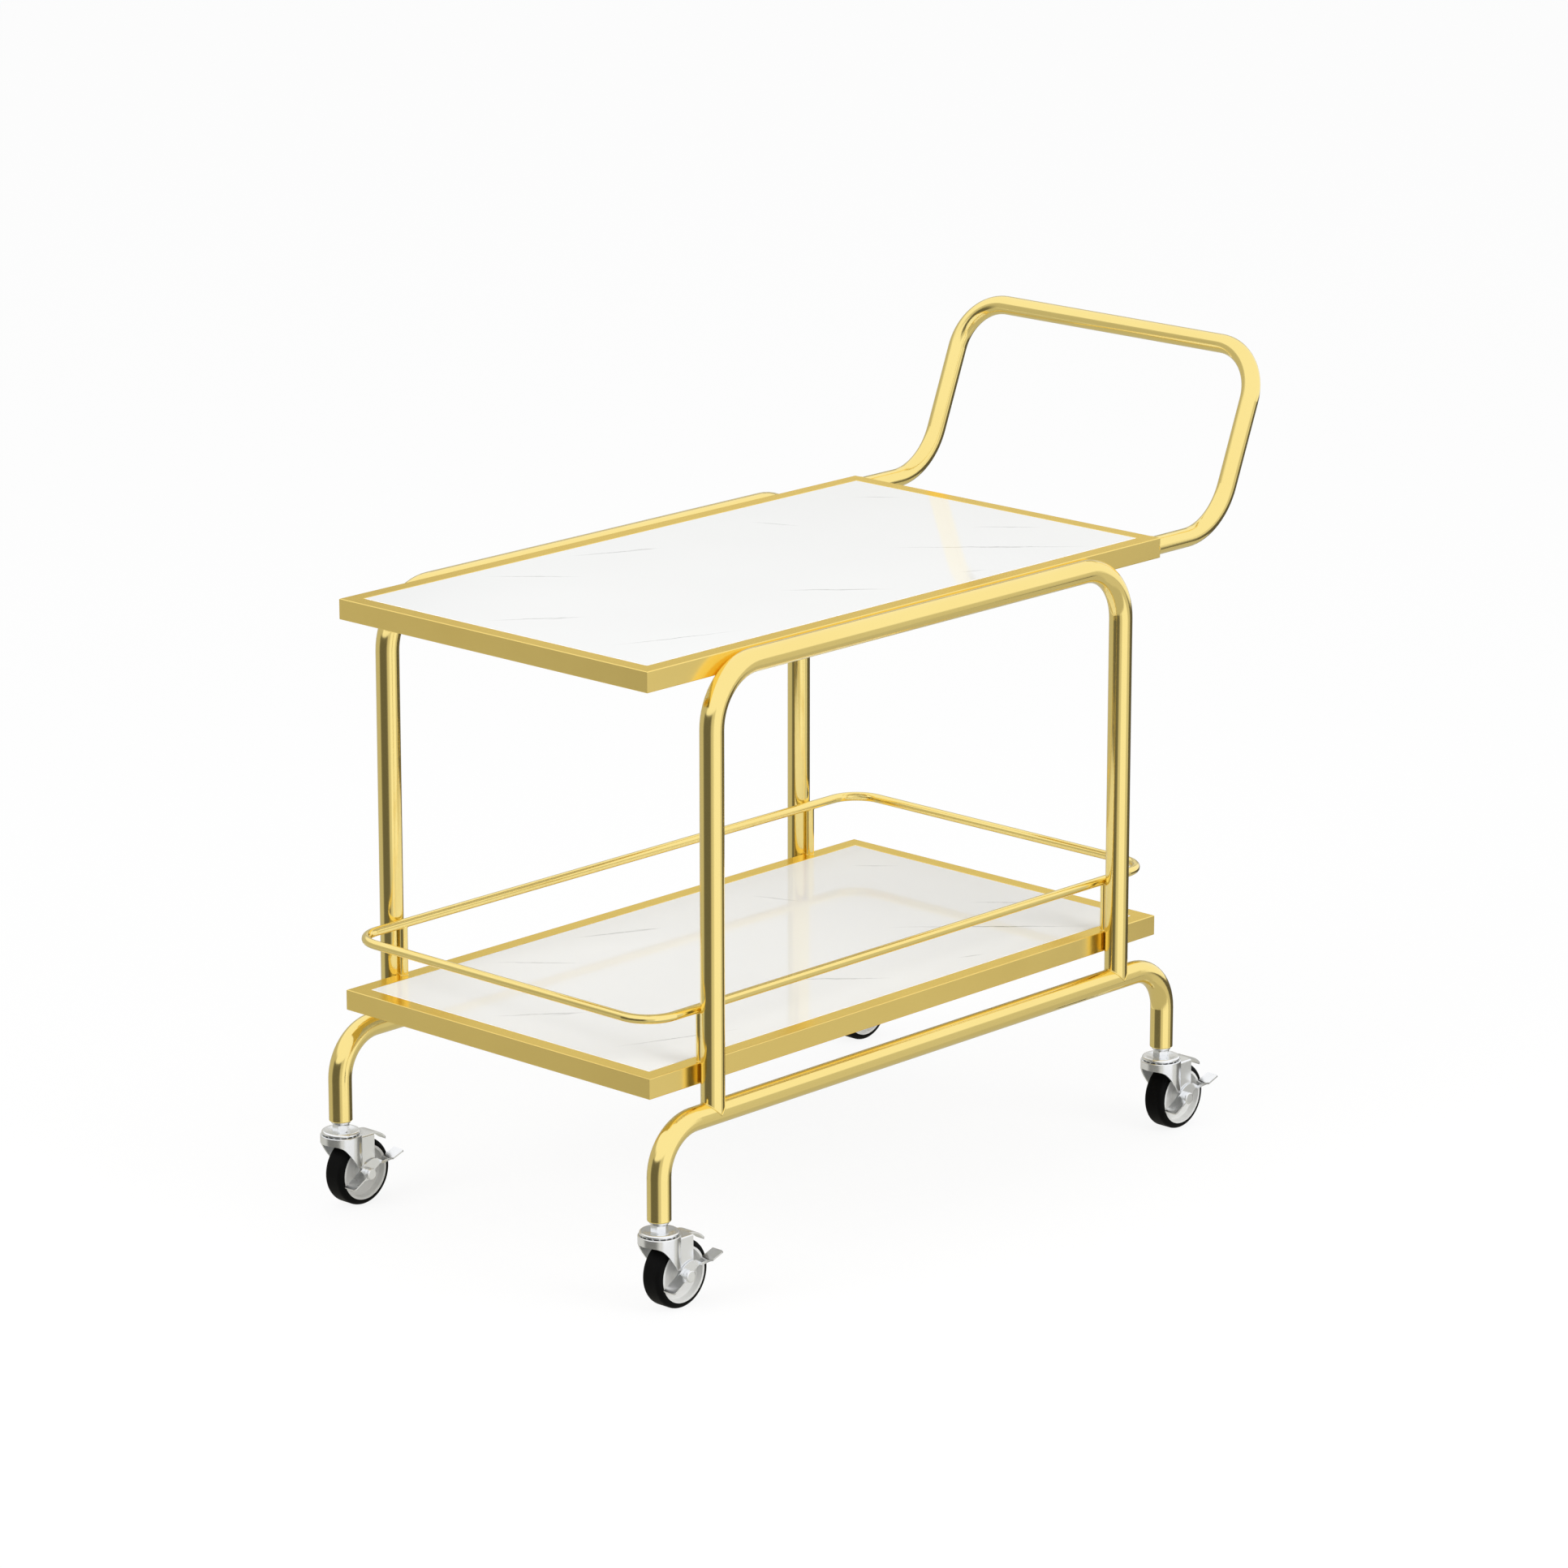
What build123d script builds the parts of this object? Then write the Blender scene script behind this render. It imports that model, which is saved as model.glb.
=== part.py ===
from build123d import *

import math
import os

# Two-tier service cart. Bent tubes carry two rimmed slabs, a gallery rail runs round the lower one,
# a push handle rises at the rear, and the cart rolls on swivel casters with side brake levers.
# Millimetres. X runs from front to rear (towards the handle), Z is up, and the floor is Z = 0.

# Shelves
shelf_length = 800.0
shelf_width = 450.0
shelf_spacing = 428.5
rim_width = 18.4
rim_height = 22.5
rim_wall = 1.5
rim_edge_round = 1.0
slab_thickness = 8.0
slab_edge_chamfer = 0.5
slab_side_gap = 0.4
ledge_width = 16.0
ledge_thickness = 2.0
pad_diameter = 10.0
pad_thickness = 1.0

# Frame tubes
tube_diameter = 25.4
tube_wall = 1.5
tube_end_round = 1.2
hoop_bend_radius = 62.5
base_bend_radius = 51.0
stub_spacing = 800.0
leg_to_bend = 29.0
base_bar_rise = 96.7
lower_shelf_rise = 52.3
cope_gap = 0.05

# Gallery rail
rail_diameter = 10.0
rail_corner_radius = 36.0
rail_rise = 57.0
post_diameter = 9.0

# Push handle
handle_diameter = 21.0
handle_wall = 1.5
handle_arm_length = 107.0
handle_rise = 189.8
handle_lean = 21.65
handle_low_bend_radius = 75.0
handle_top_bend_radius = 56.7

# Threaded insert and stem
insert_depth = 30.0
insert_lip = 2.3
insert_lip_inset = 0.9
stud_diameter = 10.0
stud_depth = 24.0
stud_neck = 1.6
hexagon_across_flats = 16.0
hexagon_height = 7.8
hexagon_chamfer = 0.8
hexagon_turn = 30.0
kingpin_head_diameter = 14.0
kingpin_head_height = 2.4
press_clearance = 0.03

# Swivel bearing
cap_diameter = 42.0
cap_thickness = 1.6
cap_lip_rise = 1.2
cap_lip_round = 2.2
cap_dish_diameter = 34.0
cap_dish_round = 10.0
cap_seat_diameter = 21.0
ball_diameter = 3.0
ball_count = 16
ball_ring_diameter = 35.0
race_gap = 1.5
race_clearance = 0.05
swivel_washer_diameter = 18.0
swivel_washer_thickness = 2.0
running_clearance = 0.08
axial_clearance = 0.1

# Caster fork
wheel_trail = 22.6
fork_sheet = 1.8
bowl_diameter = 45.0
bowl_rise = 4.7
bowl_skirt = 8.8
bowl_edge_round = 1.2
crown_clearance = 3.0
cheek_rear_reach = 11.3
cheek_rear_drop = 27.0
cheek_bend_round = 2.0
axle_eye_radius = 9.0
apron_front = 15.0
apron_slope = 52.4
apron_bend_radius = 14.0
lip_width = 20.0
lip_top_radius = 29.3
lip_sweep = 53.0
lip_near_round = 2.5
lip_far_round = 15.0

# Wheel
wheel_diameter = 74.0
wheel_width = 25.8
tyre_thickness = 6.5
tyre_shoulder_round = 5.5
core_lip_depth = 2.6
core_web_thickness = 10.0
core_corner_round = 1.2
hub_diameter = 19.0
hub_length = 25.5
hub_side_gap = 0.3
side_washer_diameter = 20.0
side_washer_thickness = 1.0
sleeve_diameter = 12.0
axle_diameter = 8.0
axle_head_diameter = 13.0
axle_head_height = 6.0
axle_head_round = 1.4
axle_nut_across_flats = 13.0
axle_nut_height = 6.5
axle_nut_chamfer = 0.6
axle_tail = 2.0

# Brake lever, a flat web on the axle bolt with a tab and a pedal bent outwards from it
lever_sheet = 1.8
lever_width = 15.5
lever_gap = 0.3
lever_eye_radius = 7.0
lever_web_clearance = 1.0
lever_web_rise = 9.4
lever_arch_reach = 2.3
lever_arch_rise = 13.6
lever_crest_reach = 12.5
lever_crest_rise = 14.0
lever_tab_root_reach = 11.2
lever_tab_root_rise = 3.6
lever_tab_reach = 33.0
lever_tab_drop = 9.2
lever_tab_taper = 5.0
lever_pedal_root_reach = 18.5
lever_pedal_root_rise = 6.9
lever_knee_reach = 22.5
lever_knee_rise = 13.2
lever_pedal_reach = 39.9
lever_pedal_rise = 19.2
lever_pedal_taper = 5.5
lever_root_lap = 3.0
lever_bend_radius = 4.0
lever_corner_round = 2.5

# Heights, stacked up from the floor
axle_height = wheel_diameter / 2
cheek_under = wheel_diameter + crown_clearance
cheek_top = cheek_under + fork_sheet
bowl_top = cheek_top + bowl_rise
cap_under = bowl_top + race_gap
cap_top = cap_under + cap_thickness
hexagon_top = cap_top + hexagon_height
insert_bottom = hexagon_top + stud_neck
stub_bottom = insert_bottom + insert_lip
base_bar_height = stub_bottom + base_bar_rise
lower_shelf_top = base_bar_height + lower_shelf_rise
upper_shelf_top = lower_shelf_top + shelf_spacing
rail_height = lower_shelf_top + rail_rise
upper_rim_middle = upper_shelf_top - rim_height / 2
handle_top_height = upper_rim_middle + handle_rise

# Places in plan
tube_radius = tube_diameter / 2
handle_radius = handle_diameter / 2
rail_radius = rail_diameter / 2
tube_side = shelf_width / 2 + tube_radius
stub_place = stub_spacing / 2
leg_place = stub_place - base_bend_radius - leg_to_bend
rail_end = shelf_length / 2 - rail_radius
rail_side = shelf_width / 2 - rail_radius
handle_side = shelf_width / 2 - handle_radius
handle_corner = shelf_length / 2 + handle_arm_length
handle_top_place = handle_corner + handle_rise * math.tan(math.radians(handle_lean))

# Places across one caster, measured from its stem axis
bowl_radius = bowl_diameter / 2
cheek_inner = hub_length / 2 + hub_side_gap + side_washer_thickness
cheek_outer = cheek_inner + fork_sheet
cheek_front = math.sqrt(bowl_radius**2 - cheek_outer**2)
apron_bottom = axle_height + lever_web_rise + lever_web_clearance
lever_inner = cheek_outer + lever_gap
lever_outer = lever_inner + lever_width
axle_tail_end = cheek_outer + axle_nut_height + axle_tail

# The origin lies on the floor at the middle of the cart's outline
front_end = -stub_place - bowl_radius
rear_end = handle_top_place + handle_radius
left_end = -tube_side - lever_outer
right_end = tube_side + max(axle_tail_end, bowl_radius)
origin = Vector((front_end + rear_end) / 2, (left_end + right_end) / 2, 0)

stub_places = {
    "front_left": (-stub_place, -tube_side),
    "front_right": (-stub_place, tube_side),
    "rear_left": (stub_place, -tube_side),
    "rear_right": (stub_place, tube_side),
}


def save(node, *solids):
    """Write one node, one solid or a group of separate solids, in the cart's own frame."""
    placed = [Pos(-origin.X, -origin.Y, 0) * solid for solid in solids]
    shape = placed[0] if len(placed) == 1 else Compound(children=placed)
    export_step(shape, os.path.join("parts", node + ".step"))


def rod_along(path, radius):
    """Round rod swept along a path of straight runs and bends."""
    section = Plane(origin=path @ 0, z_dir=path % 0) * Circle(radius)
    return sweep(section, path)


def tube_along(path, diameter, wall):
    """Round tube swept along a path of straight runs and bends."""
    return rod_along(path, diameter / 2) - rod_along(path, diameter / 2 - wall)


def upright(radius, bottom, top):
    """Vertical cylinder on the Z axis between two heights."""
    return Pos(0, 0, (bottom + top) / 2) * Cylinder(radius, top - bottom)


def crosswise(radius, start, end):
    """Cylinder along Y on the wheel axle between two places across the caster."""
    place = Pos(wheel_trail, (start + end) / 2, axle_height) * Rot(X=90)
    return place * Cylinder(radius, abs(end - start))


def hexagon_prism(across_flats, height, chamfer_size):
    """Hexagonal prism on Z = 0 with its upper and lower corners turned off."""
    prism = extrude(RegularPolygon(across_flats / 2, 6, major_radius=False), height)
    corner_radius = across_flats / math.sqrt(3)
    turned = Pos(0, 0, height / 2) * Cylinder(corner_radius, height)
    turned = chamfer(turned.edges().filter_by(GeomType.CIRCLE), chamfer_size)
    return prism & turned


def rim_rail(run):
    """Box-section rail along X, mitred at both ends, outer face towards -Y, centred on the origin."""
    block = Box(run, rim_width, rim_height)
    block = fillet(block.edges().filter_by(Axis.X), rim_edge_round)
    hollow = Box(run, rim_width - 2 * rim_wall, rim_height - 2 * rim_wall)
    outer_half = run / 2
    inner_half = run / 2 - rim_width
    trapezoid = Polygon(
        (-outer_half, -rim_width / 2),
        (outer_half, -rim_width / 2),
        (inner_half, rim_width / 2),
        (-inner_half, rim_width / 2),
        align=None,
    )
    mitre = extrude(trapezoid, rim_height, both=True)
    return (block - hollow) & mitre


def build_shelf(level, top):
    """Rim, ledges, pads and slab of one shelf whose upper face is at the given height."""
    middle = top - rim_height / 2
    side_place = shelf_width / 2 - rim_width / 2
    end_place = shelf_length / 2 - rim_width / 2
    save(level + "_left_rail", Pos(0, -side_place, middle) * rim_rail(shelf_length))
    save(level + "_right_rail", Pos(0, side_place, middle) * Rot(Z=180) * rim_rail(shelf_length))
    save(level + "_front_rail", Pos(-end_place, 0, middle) * Rot(Z=-90) * rim_rail(shelf_width))
    save(level + "_rear_rail", Pos(end_place, 0, middle) * Rot(Z=90) * rim_rail(shelf_width))

    opening_length = shelf_length - 2 * rim_width
    opening_width = shelf_width - 2 * rim_width
    slab = Box(opening_length - 2 * slab_side_gap, opening_width - 2 * slab_side_gap, slab_thickness)
    slab = chamfer(slab.edges().filter_by(Plane.XY), slab_edge_chamfer)
    save(level + "_slab", Pos(0, 0, top - slab_thickness / 2) * slab)

    pad_middle = top - slab_thickness - pad_thickness / 2
    ledge_middle = pad_middle - pad_thickness / 2 - ledge_thickness / 2
    ledge_side = opening_width / 2 - ledge_width / 2
    ledge_end = opening_length / 2 - ledge_width / 2
    ledges = []
    for side in (-1, 1):
        long_strip = Box(opening_length, ledge_width, ledge_thickness)
        ledges.append(Pos(0, side * ledge_side, ledge_middle) * long_strip)
        short_strip = Box(ledge_width, opening_width - 2 * ledge_width, ledge_thickness)
        ledges.append(Pos(side * ledge_end, 0, ledge_middle) * short_strip)
    save(level + "_ledges", *ledges)

    pads = []
    for across in (-ledge_side, ledge_side):
        for along in (-ledge_end, 0, ledge_end):
            pads.append(Pos(along, across, pad_middle) * Cylinder(pad_diameter / 2, pad_thickness))
    save(level + "_slab_pads", *pads)


def base_bar_path(side):
    """Centreline of one base bar, from the front stub end to the rear stub end."""
    across = side * tube_side
    return FilletPolyline(
        (-stub_place, across, stub_bottom),
        (-stub_place, across, base_bar_height),
        (stub_place, across, base_bar_height),
        (stub_place, across, stub_bottom),
        radius=base_bend_radius,
    )


def build_base_bar(side):
    """Base bar with both ends bent down, their outer edges rounded."""
    bar = tube_along(base_bar_path(side), tube_diameter, tube_wall)
    rims = bar.edges().filter_by(GeomType.CIRCLE).group_by(Axis.Z)[0]
    outer_rims = rims.filter_by(lambda edge: edge.radius > tube_radius - tube_wall / 2)
    return fillet(outer_rims, min(tube_end_round, 0.85 * tube_wall))


def build_hoop(side):
    """Inverted-U hoop whose legs are coped to sit on the base bar."""
    across = side * tube_side
    path = FilletPolyline(
        (-leg_place, across, base_bar_height),
        (-leg_place, across, upper_rim_middle),
        (leg_place, across, upper_rim_middle),
        (leg_place, across, base_bar_height),
        radius=hoop_bend_radius,
    )
    saddle = rod_along(base_bar_path(side), tube_radius + cope_gap)
    return tube_along(path, tube_diameter, tube_wall) - saddle


def build_gallery():
    """Closed gallery rail and the four posts that carry it on the lower rim."""
    path = FilletPolyline(
        (-rail_end, -rail_side, rail_height),
        (rail_end, -rail_side, rail_height),
        (rail_end, rail_side, rail_height),
        (-rail_end, rail_side, rail_height),
        radius=rail_corner_radius,
        close=True,
    )
    save("gallery_rail", rod_along(path, rail_radius))
    posts = []
    for along in (-leg_place, leg_place):
        for across in (-rail_side, rail_side):
            post = upright(post_diameter / 2, lower_shelf_top, rail_height)
            saddle = Pos(0, 0, rail_height) * Rot(Y=90) * Cylinder(rail_radius + cope_gap, tube_diameter)
            posts.append(Pos(along, across, 0) * (post - saddle))
    save("gallery_posts", *posts)


def build_handle():
    """Push handle, one tube that rises from the rear rim and leans back."""
    path = FilletPolyline(
        (shelf_length / 2, -handle_side, upper_rim_middle),
        (handle_corner, -handle_side, upper_rim_middle),
        (handle_top_place, -handle_side, handle_top_height),
        (handle_top_place, handle_side, handle_top_height),
        (handle_corner, handle_side, upper_rim_middle),
        (shelf_length / 2, handle_side, upper_rim_middle),
        radius=[
            handle_low_bend_radius,
            handle_top_bend_radius,
            handle_top_bend_radius,
            handle_low_bend_radius,
        ],
    )
    return tube_along(path, handle_diameter, handle_wall)


def leg_insert():
    """Threaded plug pressed into a stub end, with a short lip below the tube."""
    plug_radius = tube_radius - tube_wall - press_clearance
    plug = upright(plug_radius, stub_bottom, stub_bottom + insert_depth)
    lip = upright(plug_radius - insert_lip_inset, insert_bottom, stub_bottom)
    bore = upright(stud_diameter / 2 + press_clearance, insert_bottom, stub_bottom + insert_depth)
    return plug + lip - bore


def caster_stem():
    """Stem turned from one bar: stud above, hexagon, kingpin with a riveted head below."""
    washer_under = bowl_top - fork_sheet - axial_clearance - swivel_washer_thickness
    head_bottom = washer_under - kingpin_head_height
    pin = upright(stud_diameter / 2, head_bottom, stub_bottom + stud_depth)
    head = upright(kingpin_head_diameter / 2, head_bottom, washer_under)
    hexagon = hexagon_prism(hexagon_across_flats, hexagon_height, hexagon_chamfer)
    return pin + head + Pos(0, 0, cap_top) * Rot(Z=hexagon_turn) * hexagon


def ball_race():
    """Ring-shaped groove that the swivel balls run in, as a solid to cut away."""
    groove = Torus(ball_ring_diameter / 2, ball_diameter / 2 + race_clearance)
    return Pos(0, 0, bowl_top + race_gap / 2) * groove


def race_cap():
    """Pressed cap clamped under the hexagon: a rounded lip above the balls round a shallow dish."""
    bore_radius = stud_diameter / 2 + press_clearance
    lip = (cap_diameter / 2, cap_top + cap_lip_rise)
    dish_edge = (cap_dish_diameter / 2, cap_top + cap_lip_rise)
    seat_edge = (cap_seat_diameter / 2, cap_top)
    section = Polygon(
        (bore_radius, cap_under),
        (cap_diameter / 2, cap_under),
        lip,
        dish_edge,
        seat_edge,
        (bore_radius, cap_top),
        align=None,
    )
    for corner, corner_round in ((lip, cap_lip_round), (dish_edge, cap_dish_round), (seat_edge, cap_dish_round)):
        section = fillet(section.vertices().sort_by_distance(corner)[0], corner_round)
    return revolve(Plane.XZ * section, Axis.Z) - ball_race()


def swivel_balls():
    """Ring of separate balls between cap and fork."""
    ring = []
    for place in PolarLocations(ball_ring_diameter / 2, ball_count):
        ring.append(Pos(0, 0, bowl_top + race_gap / 2) * place * Sphere(ball_diameter / 2))
    return ring


def swivel_washer():
    """Washer under the fork's bowl, held up by the kingpin head."""
    top = bowl_top - fork_sheet - axial_clearance
    bottom = top - swivel_washer_thickness
    bore = upright(stud_diameter / 2 + press_clearance, bottom, top)
    return upright(swivel_washer_diameter / 2, bottom, top) - bore


def fork_bowl():
    """Round bowl of the fork, its skirt sloping down to the cheeks as an apron."""
    skirt_bottom = bowl_top - bowl_skirt
    slope_run = (skirt_bottom - apron_bottom) / math.tan(math.radians(apron_slope))
    shell = upright(bowl_radius, 0, bowl_top)
    crown_edge = shell.edges().filter_by(GeomType.CIRCLE).sort_by(Axis.Z)[-1]
    shell = fillet(crown_edge, bowl_edge_round)
    shell -= upright(bowl_radius - fork_sheet, 0, bowl_top - fork_sheet)
    side_view = Polygon(
        (-bowl_diameter, skirt_bottom),
        (-apron_front, skirt_bottom),
        (slope_run - apron_front, apron_bottom),
        (bowl_diameter, apron_bottom),
        (bowl_diameter, bowl_top),
        (-bowl_diameter, bowl_top),
        align=None,
    )
    bend = side_view.vertices().sort_by_distance((-apron_front, skirt_bottom))[0]
    side_view = fillet(bend, apron_bend_radius)
    return shell & extrude(Plane.XZ * side_view, bowl_diameter, both=True)


def fork_cheeks():
    """Two flat cheeks that carry the axle, joined by a crown plate behind the bowl."""
    rear = wheel_trail + cheek_rear_reach
    knee_height = cheek_top - cheek_rear_drop
    plate = Pos(rear / 2, 0, cheek_top / 2) * Box(rear, 2 * cheek_outer, cheek_top)
    plate = fillet(plate.edges().filter_by(Axis.X).group_by(Axis.Z)[-1], cheek_bend_round)
    eye = Pos(wheel_trail, axle_height) * Circle(axle_eye_radius)
    flank = Polygon(
        (wheel_trail - axle_eye_radius, axle_height),
        (wheel_trail + axle_eye_radius, axle_height),
        (rear, knee_height),
        (rear, cheek_top),
        (wheel_trail - axle_eye_radius, cheek_top),
        align=None,
    )
    profile = extrude(Plane.XZ * (flank + eye), bowl_diameter, both=True)
    return plate & profile


def rear_lip():
    """Curved lip that runs from the crown plate down behind the wheel."""
    rear = wheel_trail + cheek_rear_reach
    centre = (rear, cheek_top - lip_top_radius)
    outer = Pos(*centre) * Circle(lip_top_radius)
    inner = Pos(*centre) * Circle(lip_top_radius - fork_sheet)
    reach = 2 * lip_top_radius
    end_angle = math.radians(lip_sweep)
    wedge = Polygon(
        (0, 0),
        (0, reach),
        (reach * math.tan(end_angle / 2), reach),
        (reach * math.sin(end_angle), reach * math.cos(end_angle)),
        align=None,
    )
    ring = (outer - inner) & (Pos(*centre) * wedge)
    lip = extrude(Plane.XZ * ring, lip_width, both=True)
    end_place = rear + lip_top_radius * math.sin(end_angle)
    plan = Pos((rear + end_place) / 2, 0) * Rectangle(end_place - rear, lip_width)
    near_corner = plan.vertices().sort_by_distance((end_place, -lip_width / 2))[0]
    plan = fillet(near_corner, lip_near_round)
    far_corner = plan.vertices().sort_by_distance((end_place, lip_width / 2))[0]
    plan = fillet(far_corner, lip_far_round)
    return lip & extrude(plan, cheek_top)


def fork():
    """Pressed caster fork: bowl, cheeks, crown plate and rear lip, with its holes and ball groove."""
    rear = wheel_trail + cheek_rear_reach
    crown_hollow = Pos(rear / 2, 0, cheek_under / 2) * Box(rear, 2 * cheek_inner, cheek_under)
    bowl_hollow = upright(bowl_radius - fork_sheet, 0, bowl_top - fork_sheet)
    body = fork_bowl() + (fork_cheeks() - bowl_hollow) - crown_hollow + rear_lip()
    king_hole = upright(stud_diameter / 2 + running_clearance, cheek_under, bowl_top)
    axle_hole = crosswise(axle_diameter / 2 + press_clearance, -cheek_outer, cheek_outer)
    return body - king_hole - axle_hole - ball_race()


def axle_bolt():
    """Axle bolt with a round head outside the brake lever and its tail through the nut."""
    head_face = -(lever_inner + lever_sheet + axial_clearance)
    shank = crosswise(axle_diameter / 2, head_face, axle_tail_end)
    head = crosswise(axle_head_diameter / 2, head_face - axle_head_height, head_face)
    outer_edge = head.edges().filter_by(GeomType.CIRCLE).sort_by(Axis.Y)[0]
    return shank + fillet(outer_edge, axle_head_round)


def axle_nut():
    """Hexagon nut outside the cheek away from the brake."""
    nut = hexagon_prism(axle_nut_across_flats, axle_nut_height, axle_nut_chamfer)
    bore = crosswise(axle_diameter / 2 + press_clearance, cheek_outer, axle_tail_end)
    return Pos(wheel_trail, cheek_outer, axle_height) * Rot(X=-90) * nut - bore


def axle_sleeve():
    """Sleeve clamped between the cheeks, which the wheel turns on."""
    bore = crosswise(axle_diameter / 2 + press_clearance, -cheek_inner, cheek_inner)
    return crosswise(sleeve_diameter / 2, -cheek_inner, cheek_inner) - bore


def side_washers():
    """One washer at each end of the hub, against the cheeks."""
    washers = []
    for side in (-1, 1):
        start = side * (cheek_inner - side_washer_thickness)
        end = side * cheek_inner
        bore = crosswise(sleeve_diameter / 2 + press_clearance, start, end)
        washers.append(crosswise(side_washer_diameter / 2, start, end) - bore)
    return washers


def tyre():
    """Solid rubber tyre with rounded shoulders."""
    body = crosswise(wheel_diameter / 2, -wheel_width / 2, wheel_width / 2)
    body = fillet(body.edges().filter_by(GeomType.CIRCLE), tyre_shoulder_round)
    bore_radius = wheel_diameter / 2 - tyre_thickness + press_clearance
    return body - crosswise(bore_radius, -wheel_width / 2, wheel_width / 2)


def wheel_core():
    """Moulded wheel core: rim under the tyre, thin web, and a hub that turns on the sleeve."""
    rim_radius = wheel_diameter / 2 - tyre_thickness
    half_width = wheel_width / 2
    core = crosswise(rim_radius, -half_width, half_width)
    for side in (-1, 1):
        dish = crosswise(rim_radius - core_lip_depth, side * core_web_thickness / 2, side * half_width)
        core -= dish
    core += crosswise(hub_diameter / 2, -hub_length / 2, hub_length / 2)
    inner_edges = core.edges().filter_by(GeomType.CIRCLE)
    web_edges = inner_edges.filter_by(
        lambda edge: abs(abs(edge.arc_center.Y) - core_web_thickness / 2) < 1e-3
    )
    core = fillet(web_edges, core_corner_round)
    return core - crosswise(sleeve_diameter / 2 + running_clearance, -hub_length / 2, hub_length / 2)


def lever_point(reach, rise):
    """Point in the lever's side view, measured from the axle, as X and Z."""
    return (wheel_trail + reach, axle_height + rise)


def lever_flange(*points):
    """Flange of the lever that stands out from its web, bent along points of the side view."""
    line = Polyline(*points) if len(points) == 2 else FilletPolyline(*points, radius=lever_bend_radius)
    flange = Pos(0, -lever_inner, 0) * extrude(Plane.XZ * trace(line, lever_sheet), lever_width)
    short_edges = flange.edges().filter_by(lambda edge: abs(edge.length - lever_sheet) < 1e-3)
    outer_edges = short_edges.filter_by(lambda edge: edge.center().Y < -lever_inner - lever_width / 2)
    tip = outer_edges.sort_by_distance((points[-1][0], -lever_outer, points[-1][1]))[0]
    return fillet(tip, lever_corner_round)


def flange_root(start, towards):
    """Corners of the web's outline on both sides of a flange, a short way along the flange."""
    run = (Vector(*towards) - Vector(*start)).normalized()
    side = Vector(-run.Y, run.X) * lever_sheet / 2
    lap = Vector(*start) + run * lever_root_lap
    return lap + side, lap - side


def brake_lever():
    """Brake lever: flat web on the axle bolt, with a front tab and a rear pedal bent outwards."""
    tab_root = lever_point(-lever_tab_root_reach, lever_tab_root_rise)
    tab_end = lever_point(-lever_tab_reach, -lever_tab_drop)
    pedal_root = lever_point(lever_pedal_root_reach, lever_pedal_root_rise)
    knee = lever_point(lever_knee_reach, lever_knee_rise)
    pedal_end = lever_point(lever_pedal_reach, lever_pedal_rise)
    flanges = lever_flange(tab_root, tab_end) + lever_flange(pedal_root, knee, pedal_end)
    web_face = -(lever_inner + lever_sheet)
    plan = Polygon(
        (tab_end[0] - lever_width, -lever_inner),
        (tab_end[0] - lever_width, -lever_outer),
        (tab_root[0] - lever_tab_taper, -lever_outer),
        (tab_root[0], web_face),
        (pedal_root[0], web_face),
        (pedal_root[0] + lever_pedal_taper, -lever_outer),
        (pedal_end[0] + lever_width, -lever_outer),
        (pedal_end[0] + lever_width, -lever_inner),
        align=None,
    )
    flanges &= extrude(plan, 2 * wheel_diameter)

    web_front = (cheek_front + lever_web_clearance, axle_height + lever_web_rise)
    arch = lever_point(lever_arch_reach, lever_arch_rise)
    crest = lever_point(lever_crest_reach, lever_crest_rise)
    under_eye = lever_point(0, -lever_eye_radius / 2)
    pedal_corners = flange_root(pedal_root, knee)
    tab_corners = flange_root(tab_root, tab_end)
    web_outline = make_face(
        [
            ThreePointArc(web_front, arch, crest),
            Polyline(crest, *pedal_corners, under_eye, *tab_corners, web_front),
        ]
    )
    web_outline += Pos(*lever_point(0, 0)) * Circle(lever_eye_radius)
    web = Pos(0, -lever_inner, 0) * extrude(Plane.XZ * web_outline, lever_sheet)
    bore = crosswise(axle_diameter / 2 + running_clearance, -lever_inner, -lever_outer)
    return flanges + web - bore


os.makedirs("parts", exist_ok=True)

build_shelf("upper", upper_shelf_top)
build_shelf("lower", lower_shelf_top)
for name, side in (("left", -1), ("right", 1)):
    save(name + "_base_bar", build_base_bar(side))
    save(name + "_hoop", build_hoop(side))
build_gallery()
save("push_handle", build_handle())

stubs = [Pos(along, across, 0) for along, across in stub_places.values()]
save("leg_inserts", *[stub * leg_insert() for stub in stubs])
save("caster_stems", *[stub * caster_stem() for stub in stubs])
save("race_caps", *[stub * race_cap() for stub in stubs])
save("swivel_balls", *[stub * ball for stub in stubs for ball in swivel_balls()])
save("swivel_washers", *[stub * swivel_washer() for stub in stubs])

caster_pieces = {
    "fork": [fork()],
    "axle_bolt": [axle_bolt()],
    "axle_nut": [axle_nut()],
    "axle_sleeve": [axle_sleeve()],
    "side_washers": side_washers(),
    "tyre": [tyre()],
    "wheel_core": [wheel_core()],
    "brake_lever": [brake_lever()],
}
for corner, (along, across) in stub_places.items():
    for piece, solids in caster_pieces.items():
        save(corner + "_" + piece, *[Pos(along, across, 0) * solid for solid in solids])
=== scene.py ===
import logging
import math
from dataclasses import dataclass, field, replace
from enum import Enum

import bmesh
import bpy
from mathutils import Matrix, Vector


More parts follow.
